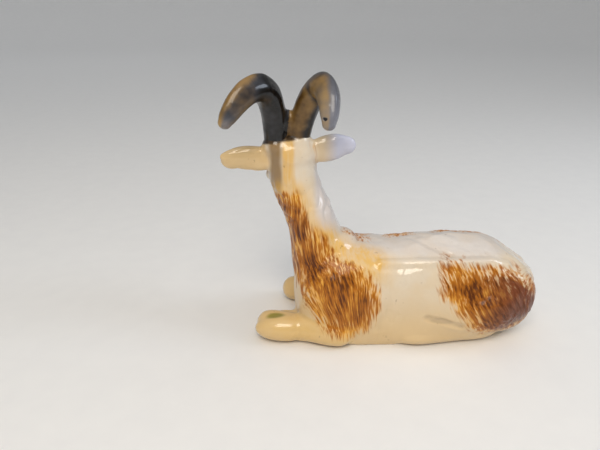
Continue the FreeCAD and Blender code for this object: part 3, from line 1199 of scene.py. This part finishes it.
@dataclass(frozen=True)
class StainColours:
    """The colours of the painted stain, thin to thick."""

    amber: Triple = srgb(228, 166, 68)
    brown: Triple = srgb(174, 104, 26)
    dark: Triple = srgb(92, 46, 12)
    mauve: Triple = srgb(98, 50, 44)
    wash: Triple = srgb(226, 178, 84)


def stain_group(colours: StainColours) -> bpy.types.NodeTree:
    """Makes the brown patches with their fringed edges.

    Args:
        colours: the stain's colours.

    Returns:
        The group: from the masks and the clean glaze's colour to the painted colour.
    """
    board, take, give = new_group(
        "brown stain",
        {"Clean": COLOUR, "Depth": NUMBER, "Stroke": NUMBER,
         "Fine": NUMBER, "Core": NUMBER, "Mauve": NUMBER,
         "Ochre": NUMBER, "Cloud": NUMBER},
        {"Color": COLOUR, "Mask": NUMBER})
    lift = board.math("MULTIPLY", board.math("SUBTRACT", take["Stroke"], 0.5), 10.0)
    strand = board.math("SUBTRACT", take["Fine"], 0.5)
    reach = board.math("ADD", board.math("MULTIPLY_ADD", take["Core"], 2.6, take["Depth"]), lift)
    reach = board.math("MULTIPLY_ADD", strand, 4.5, reach)
    edge = board.math("SUBTRACT", 1.0, board.step(reach, 0.5, 5.5))
    gap = board.math("MULTIPLY", board.math("SUBTRACT", 1.0, board.step(take["Fine"], 0.36, 0.48)), edge)
    near = board.step(take["Depth"], -3.0, -1.2)
    kept = board.math("MULTIPLY", near, board.math("MULTIPLY_ADD", gap, -0.45, 1.0))
    mask = board.math("MULTIPLY", board.step(reach, -2.6, 1.2), kept)
    thick = board.math("MULTIPLY_ADD", reach, 0.045, board.math("MULTIPLY", take["Core"], 0.27))
    thick = board.math("MULTIPLY_ADD", strand, 2.0, thick)
    thick = board.math("MULTIPLY_ADD", board.math("SUBTRACT", take["Cloud"], 0.5), 1.3, thick)
    tone = board.mix(board.step(thick, -0.28, 0.28), colours.amber, colours.brown)
    mauve = board.math("MULTIPLY", take["Mauve"], board.step(take["Depth"], 0.0, 2.5))
    tone = board.mix(board.math("MULTIPLY", mauve, 0.8), tone, colours.mauve)
    tone = board.mix(board.step(thick, 0.22, 0.85), tone, colours.dark)
    patchy = board.math("MULTIPLY_ADD", board.step(take["Stroke"], 0.38, 0.62), 0.35, 0.65)
    wash = board.math("MULTIPLY", take["Ochre"], patchy)
    clean = board.mix(board.math("MULTIPLY", wash, 0.9), take["Clean"], colours.wash)
    board.feed(give["Color"], board.mix(mask, clean, tone))
    board.feed(give["Mask"], mask)
    return board.tree


def glaze_group() -> bpy.types.NodeTree:
    """Makes the glaze's own unevenness: pools, waves and small pits."""
    board, take, give = new_group(
        "glaze surface", {"Place": VECTOR},
        {"Cloud": NUMBER, "Height": NUMBER, "Roughness": NUMBER,
         "Speck": NUMBER})
    cloud = board.grain(take["Place"], (120.0, 120.0, 120.0), detail=3.0, rough=0.55)
    wave = board.grain(take["Place"], (260.0, 260.0, 260.0), detail=1.5, seed=7.0)
    pit = board.grain(take["Place"], (900.0, 900.0, 900.0), detail=1.0, seed=13.0)
    speck = board.step(board.grain(take["Place"], (620.0, 620.0, 620.0), detail=2.0, seed=31.0), 0.70, 0.78)
    board.feed(give["Cloud"], cloud)
    board.feed(give["Height"], board.math("MULTIPLY_ADD", wave, 0.8, board.math("MULTIPLY", pit, 0.2)))
    board.feed(give["Roughness"], board.math("MULTIPLY_ADD", cloud, 0.22, 0.2))
    board.feed(give["Speck"], speck)
    return board.tree


def horn_group() -> bpy.types.NodeTree:
    """Makes the horns' colour: grey, or brown where the glaze ran thin."""
    board, take, give = new_group(
        "horn tone", {"Brown": NUMBER, "Along": NUMBER, "Cloud": NUMBER},
        {"Color": COLOUR})
    drift = board.math("MULTIPLY_ADD", board.math("SUBTRACT", take["Cloud"], 0.5), 1.5, take["Brown"])
    tone = board.mix(board.step(take["Cloud"], 0.38, 0.62), srgb(13, 13, 14), srgb(46, 46, 51))
    thin = board.mix(board.step(take["Cloud"], 0.35, 0.65), srgb(76, 54, 24), srgb(136, 106, 60))
    tip = board.step(take["Along"], 0.42, 0.78)
    tone = board.mix(board.math("MULTIPLY", tip, 0.75), tone, srgb(134, 136, 148))
    thin = board.mix(board.math("MULTIPLY", tip, 0.6), thin, srgb(196, 166, 112))
    board.feed(give["Color"], board.mix(board.step(drift, -0.45, 0.55), tone, thin))
    return board.tree


@dataclass
class Finishes:
    """The goat's glazes and bare clay, each made once."""

    colours: StainColours = field(default_factory=StainColours)

    def __post_init__(self) -> None:
        """Makes the shared groups."""
        self.strokes = stroke_group()
        self.stain = stain_group(self.colours)
        self.glaze = glaze_group()
        self.horn_tone = horn_group()

    def start(self, name: str) -> tuple[bpy.types.Material, Board, bpy.types.Node, bpy.types.Node]:
        """Starts a material with its glaze surface.

        Args:
            name: the material's name.

        Returns:
            The material, its board, its shader and its glaze surface.
        """
        material = bpy.data.materials.new(name)
        material.use_nodes = True
        material.node_tree.nodes.clear()
        board = Board(material.node_tree)
        shader = board.add("ShaderNodeBsdfPrincipled")
        leave = board.add("ShaderNodeOutputMaterial")
        board.feed(leave.inputs["Surface"], shader.outputs[0])
        place = board.add("ShaderNodeTexCoord").outputs["Object"]
        return material, board, shader, board.group(self.glaze, Place=place)

    @staticmethod
    def bump(board: Board, shader: bpy.types.Node, height: object, distance: float) -> None:
        """Raises the surface.

        Args:
            board: the material's board.
            shader: its shader.
            height: the relief, from 0 to 1.
            distance: how high 1 is, in millimetres.
        """
        node = board.add("ShaderNodeBump")
        board.feed(node.inputs["Height"], height)
        node.inputs["Distance"].default_value = distance * MM
        board.feed(shader.inputs["Normal"], node.outputs["Normal"])

    def painted(self, name: str) -> bpy.types.Material:
        """Makes the cream glaze over the painted stain, with painted shade and a painted reflection of cool
        window light.

        Args:
            name: the material's name.

        Returns:
            The material.
        """
        material, board, shader, glaze = self.start(name)
        strokes = board.group(self.strokes, Flow=board.own("flow", "Vector"))
        clean = board.mix(board.own("warm"), srgb(222, 210, 192), srgb(222, 187, 124))
        for mask, share, tint in (
                (board.step(glaze.outputs["Cloud"], 0.35, 0.65), 0.35, srgb(222, 194, 150)),
                # painted reflection of cool window light, blue-white
                (board.own("painted_window_light"), 0.9, srgb(196, 201, 224)),
                # painted shade: khaki strip down the nape
                (board.own("shade"), 0.9, srgb(136, 106, 62)),
                # pooled glaze, and painted shade darkening the creases
                (board.step(board.own("pooling_and_shade"), 0.0, 0.8), 0.45, srgb(166, 148, 124)),
                (board.own("nose"), 0.7, srgb(150, 112, 100))):
            clean = board.mix(board.math("MULTIPLY", mask, share), clean, tint)
        painted = board.group(self.stain, Clean=clean, Depth=board.own("brown"), Core=board.own("core"),
                              Mauve=board.own("mauve"), Ochre=board.own("ochre"),
                              Cloud=glaze.outputs["Cloud"], Stroke=strokes.outputs["Stroke"],
                              Fine=strokes.outputs["Fine"])
        colour = painted.outputs["Color"]
        colour = board.mix(board.math("MULTIPLY", board.own("daub"), 0.85), colour, srgb(128, 124, 34))
        colour = board.mix(board.math("MULTIPLY", glaze.outputs["Speck"], 0.35), colour, srgb(120, 84, 52))
        root = board.group(self.horn_tone, Brown=board.own("root"), Along=0.05,
                           Cloud=glaze.outputs["Cloud"])
        colour = board.mix(board.own("horned"), colour, root.outputs["Color"])
        board.feed(shader.inputs["Base Color"], colour)
        board.feed(shader.inputs["Roughness"], glaze.outputs["Roughness"])
        board.feed(shader.inputs["Coat Weight"],
                   board.math("SUBTRACT", 0.8, board.math("MULTIPLY", painted.outputs["Mask"], 0.64)))
        shader.inputs["Coat Roughness"].default_value = 0.07
        shader.inputs["IOR"].default_value = 1.3
        ridges = board.math("MULTIPLY", board.math("SUBTRACT", 1.0, strokes.outputs["Fine"]),
                            board.own("combed"))
        height = board.math("MULTIPLY_ADD", glaze.outputs["Height"], 0.35, ridges)
        self.bump(board, shader, height, 0.32)
        return material

    def horn(self) -> bpy.types.Material:
        """Makes the horns' dark glaze, thin and brown on one face and grey on the other."""
        material, board, shader, glaze = self.start("horn glaze")
        colour = board.group(self.horn_tone, Brown=board.own("brown"), Along=board.own("along"),
                             Cloud=glaze.outputs["Cloud"]).outputs["Color"]
        board.feed(shader.inputs["Base Color"], colour)
        board.feed(shader.inputs["Roughness"], glaze.outputs["Roughness"])
        shader.inputs["Coat Weight"].default_value = 0.45
        shader.inputs["Coat Roughness"].default_value = 0.05
        shader.inputs["IOR"].default_value = 1.3
        self.bump(board, shader, glaze.outputs["Height"], 0.2)
        return material

    def eye(self) -> bpy.types.Material:
        """Makes the eyes' wet amber glaze with a dark slit."""
        material, board, shader, glaze = self.start("eye glaze")
        pupil = board.step(board.own("iris"), 0.9, 1.15)
        amber = board.mix(glaze.outputs["Cloud"], srgb(92, 58, 26), srgb(140, 96, 40))
        board.feed(shader.inputs["Base Color"], board.mix(pupil, amber, srgb(18, 14, 12)))
        board.feed(shader.inputs["Roughness"], glaze.outputs["Roughness"])
        shader.inputs["Coat Weight"].default_value = 1.0
        shader.inputs["Coat Roughness"].default_value = 0.03
        self.bump(board, shader, glaze.outputs["Height"], 0.05)
        return material

    def clay(self) -> bpy.types.Material:
        """Makes the bare fired clay of the foot."""
        material, board, shader, glaze = self.start("bare clay")
        colour = board.mix(glaze.outputs["Cloud"], srgb(206, 186, 156), srgb(178, 152, 120))
        colour = board.mix(glaze.outputs["Speck"], colour, srgb(130, 100, 74))
        board.feed(shader.inputs["Base Color"], colour)
        shader.inputs["Roughness"].default_value = 0.85
        self.bump(board, shader, glaze.outputs["Height"], 0.15)
        return material

    def floor(self) -> bpy.types.Material:
        """Makes the pale studio floor."""
        material, board, shader, glaze = self.start("studio floor")
        colour = board.mix(glaze.outputs["Cloud"], srgb(240, 239, 237), srgb(234, 233, 232))
        board.feed(shader.inputs["Base Color"], colour)
        shader.inputs["Roughness"].default_value = 0.9
        return material


# ---------------------------------------------------------------- the studio


@dataclass
class Studio:
    """A pale floor, soft lamps and the camera."""

    finishes: Finishes

    def build(self) -> None:
        """Makes the studio around the goat."""
        scene = bpy.context.scene
        scene.view_settings.view_transform = "Standard"
        world = bpy.data.worlds.new("studio")
        world.use_nodes = True
        world.node_tree.nodes["Background"].inputs["Color"].default_value = (0.92, 0.95, 1.0, 1.0)
        world.node_tree.nodes["Background"].inputs["Strength"].default_value = 0.25
        scene.world = world
        bm = self.cove()
        mesh = bpy.data.meshes.new("floor")
        bm.to_mesh(mesh)
        bm.free()
        mesh.materials.append(self.finishes.floor())
        new_object("floor", mesh)
        self.lamp("key", (70, 350, 420), 260, 1.62, (1.0, 0.91, 0.78))
        self.lamp("pin", (210, 340, 330), 14, 0.04, (1.0, 0.97, 0.92))
        self.lamp("window", (-380, 40, 300), 150, 0.5, (0.78, 0.87, 1.0))
        self.sun()
        self.camera()

    @staticmethod
    def cove(reach: float = 1.4, bend: float = 0.6, height: float = 2.4) -> bmesh.types.BMesh:
        """Turns the pale floor that curves up into a wall all round.

        Args:
            reach: how far the flat floor goes, in metres.
            bend: the radius of the curve, in metres.
            height: the wall's top, in metres.

        Returns:
            The cove's mesh.
        """
        bm = bmesh.new()
        turns = [math.radians(90 * k / 12) for k in range(13)]
        outline = [Vector((0.0, 0.0, 0.0)), Vector((reach * 0.3, 0.0, 0.0))]
        outline += [Vector((reach + bend * math.sin(a), 0.0, bend * (1 - math.cos(a)))) for a in turns]
        outline.append(Vector((reach + bend, 0.0, height)))
        verts = [bm.verts.new(spot) for spot in outline]
        edges = [bm.edges.new(pair) for pair in zip(verts, verts[1:])]
        bmesh.ops.spin(bm, geom=verts + edges, cent=(0, 0, 0), axis=(0, 0, 1), angle=math.tau,
                       steps=72, use_merge=True)
        bmesh.ops.remove_doubles(bm, verts=bm.verts, dist=1e-5)
        bmesh.ops.recalc_face_normals(bm, faces=bm.faces)
        bmesh.ops.reverse_faces(bm, faces=bm.faces)
        for face in bm.faces:
            face.smooth = True
        return bm

    @staticmethod
    def sun() -> None:
        """Hangs the broad overhead light that also fills the floor."""
        light = bpy.data.lights.new("overhead", "SUN")
        light.angle = math.radians(75)
        light.energy = 0.72
        light.color = (0.94, 0.97, 1.0)
        made = bpy.data.objects.new("overhead", light)
        made.rotation_euler = Vector((0.12, -0.22, -0.97)).to_track_quat("-Z", "Y").to_euler()
        bpy.context.scene.collection.objects.link(made)

    @staticmethod
    def lamp(name: str, place: Triple, size: float, power: float,
             colour: Triple) -> None:
        """Hangs a soft lamp that points at the goat.

        Args:
            name: the lamp's name.
            place: where it hangs, in millimetres.
            size: the width of its square, in millimetres.
            power: its power, in watts.
            colour: its light.
        """
        light = bpy.data.lights.new(name, "AREA")
        light.shape = "SQUARE"
        light.size = size * MM
        light.energy = power
        light.color = colour
        made = bpy.data.objects.new(name, light)
        spot = Vector(place) * MM
        made.location = spot
        aim = Vector((0.0, 0.0, 0.03)) - spot
        made.rotation_euler = aim.to_track_quat("-Z", "Y").to_euler()
        bpy.context.scene.collection.objects.link(made)

    @staticmethod
    def camera() -> None:
        """Sets the camera in front of the goat's left flank, a little above it."""
        lens = bpy.data.cameras.new("camera")
        lens.lens = 31.2
        lens.sensor_width = 36.0
        lens.clip_start = 0.01
        camera = bpy.data.objects.new("camera", lens)
        camera.location = (0.0394, 0.150, 0.0986)
        camera.rotation_euler = Euler((math.radians(90 - 22.651), 0.0, math.radians(180)))
        bpy.context.scene.collection.objects.link(camera)
        bpy.context.scene.camera = camera


# ---------------------------------------------------------------- building everything


NODES = ("body", "neck", "head", "beard", "left_ear", "right_ear", "left_foreleg", "right_foreleg",
         "left_haunch", "right_haunch", "left_hind_foot", "right_hind_foot", "tail")
FLEECED = ("body", "neck", "left_haunch", "right_haunch", "tail")
OWN_NAMES = {"neck": "neck_and_nape", "beard": "beard_tuft"}


def hand_over(piece: bpy.types.Object, node: str | None = None) -> None:
    """Rides a piece on the body, hides the casting that it replaces, and logs its faces.

    Args:
        piece: the piece.
        node: the casting that it replaces, or None.
    """
    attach(piece, BODY)
    if node:
        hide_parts(node)
    LOG.info("%s: %d faces", piece.name, len(piece.data.polygons))


def add_skin(finishes: Finishes) -> HeadAxes:
    """Models the skin, cuts it into its pieces and glazes them.

    Args:
        finishes: the glazes.

    Returns:
        The head's axes.
    """
    maker = Goatskin(NODES)
    skin = maker.build()
    fields = Paint(skin, maker).fields()
    flow = maker.comb.coordinates(skin.points)
    normals = skin.normals()
    glazes = {slot: finishes.painted(slot.value) for slot in (Slot.FLEECE, Slot.CREAM)}
    bare = finishes.clay()
    for index, node in enumerate(NODES):
        slot = Slot.FLEECE if node in FLEECED else Slot.CREAM
        piece = closed_piece(OWN_NAMES.get(node, node), skin, index, normals, fields, flow)
        piece.data.materials.append(glazes[slot])
        piece.data.materials.append(bare)
        for face in piece.data.polygons:
            if face.center.z < 1e-5:
                face.material_index = 1
        hand_over(piece, node)
    bpy.data.objects.remove(skin.lump)
    return maker.head


def add_horns(finishes: Finishes) -> None:
    """Models both horns as one lump, chips a tip, and cuts the lump in two.

    Args:
        finishes: the glazes.
    """
    horns = (LEFT_HORN, RIGHT_HORN)
    clay = Clay(voxel=0.27)
    for horn in horns:
        horn.model(clay)
    web = within("right_horn", 0.97, 0.22, 0.28)
    clay.pellet(web, (1.7, 2.3, 3.6))
    skin = Skin(clay.fuse(), [horn.node for horn in horns])
    joins = 1.0 - ramp(skin.reach_of((web - (0, 0, 3), web + (0, 0, 3))), 2.0, 4.5)
    skin.soften(joins, 14)
    skin.soften(np.ones(len(skin.points)), 2)
    chip = skin.points[skin.gap(within("right_horn", 0.33, 0.98, 0.465)).argmin()].copy()
    skin.press(chip, 0.8, np.array([0.0, -0.95, -0.3]), 0.5, (1.3, 1.0, 0.8))
    bared = 1 - ramp(np.linalg.norm((skin.points - chip) / (1.4, 1.0, 0.7), axis=1), 0.3, 0.8)
    normals = skin.normals()
    glaze = finishes.horn()
    for index, horn in enumerate(horns):
        brown, along = horn.paint(skin.points)
        brown, along = brown * (1 - bared) - bared, along * (1 - bared)
        piece = closed_piece(horn.node, skin, index, normals, {"brown": brown, "along": along},
                             skin.points)
        piece.data.materials.append(glaze)
        hand_over(piece, horn.node)
    bpy.data.objects.remove(skin.lump)


def main() -> None:
    """Builds the goat and the studio."""
    logging.basicConfig(level=logging.INFO, format="%(message)s")
    finishes = Finishes()
    head = add_skin(finishes)
    add_horns(finishes)
    eye_glaze = finishes.eye()
    for side in (-1, 1):
        piece = Eye(head, side).build()
        piece.data.materials.append(eye_glaze)
        hand_over(piece)
    Studio(finishes).build()


if __name__ == "__main__":
    main()
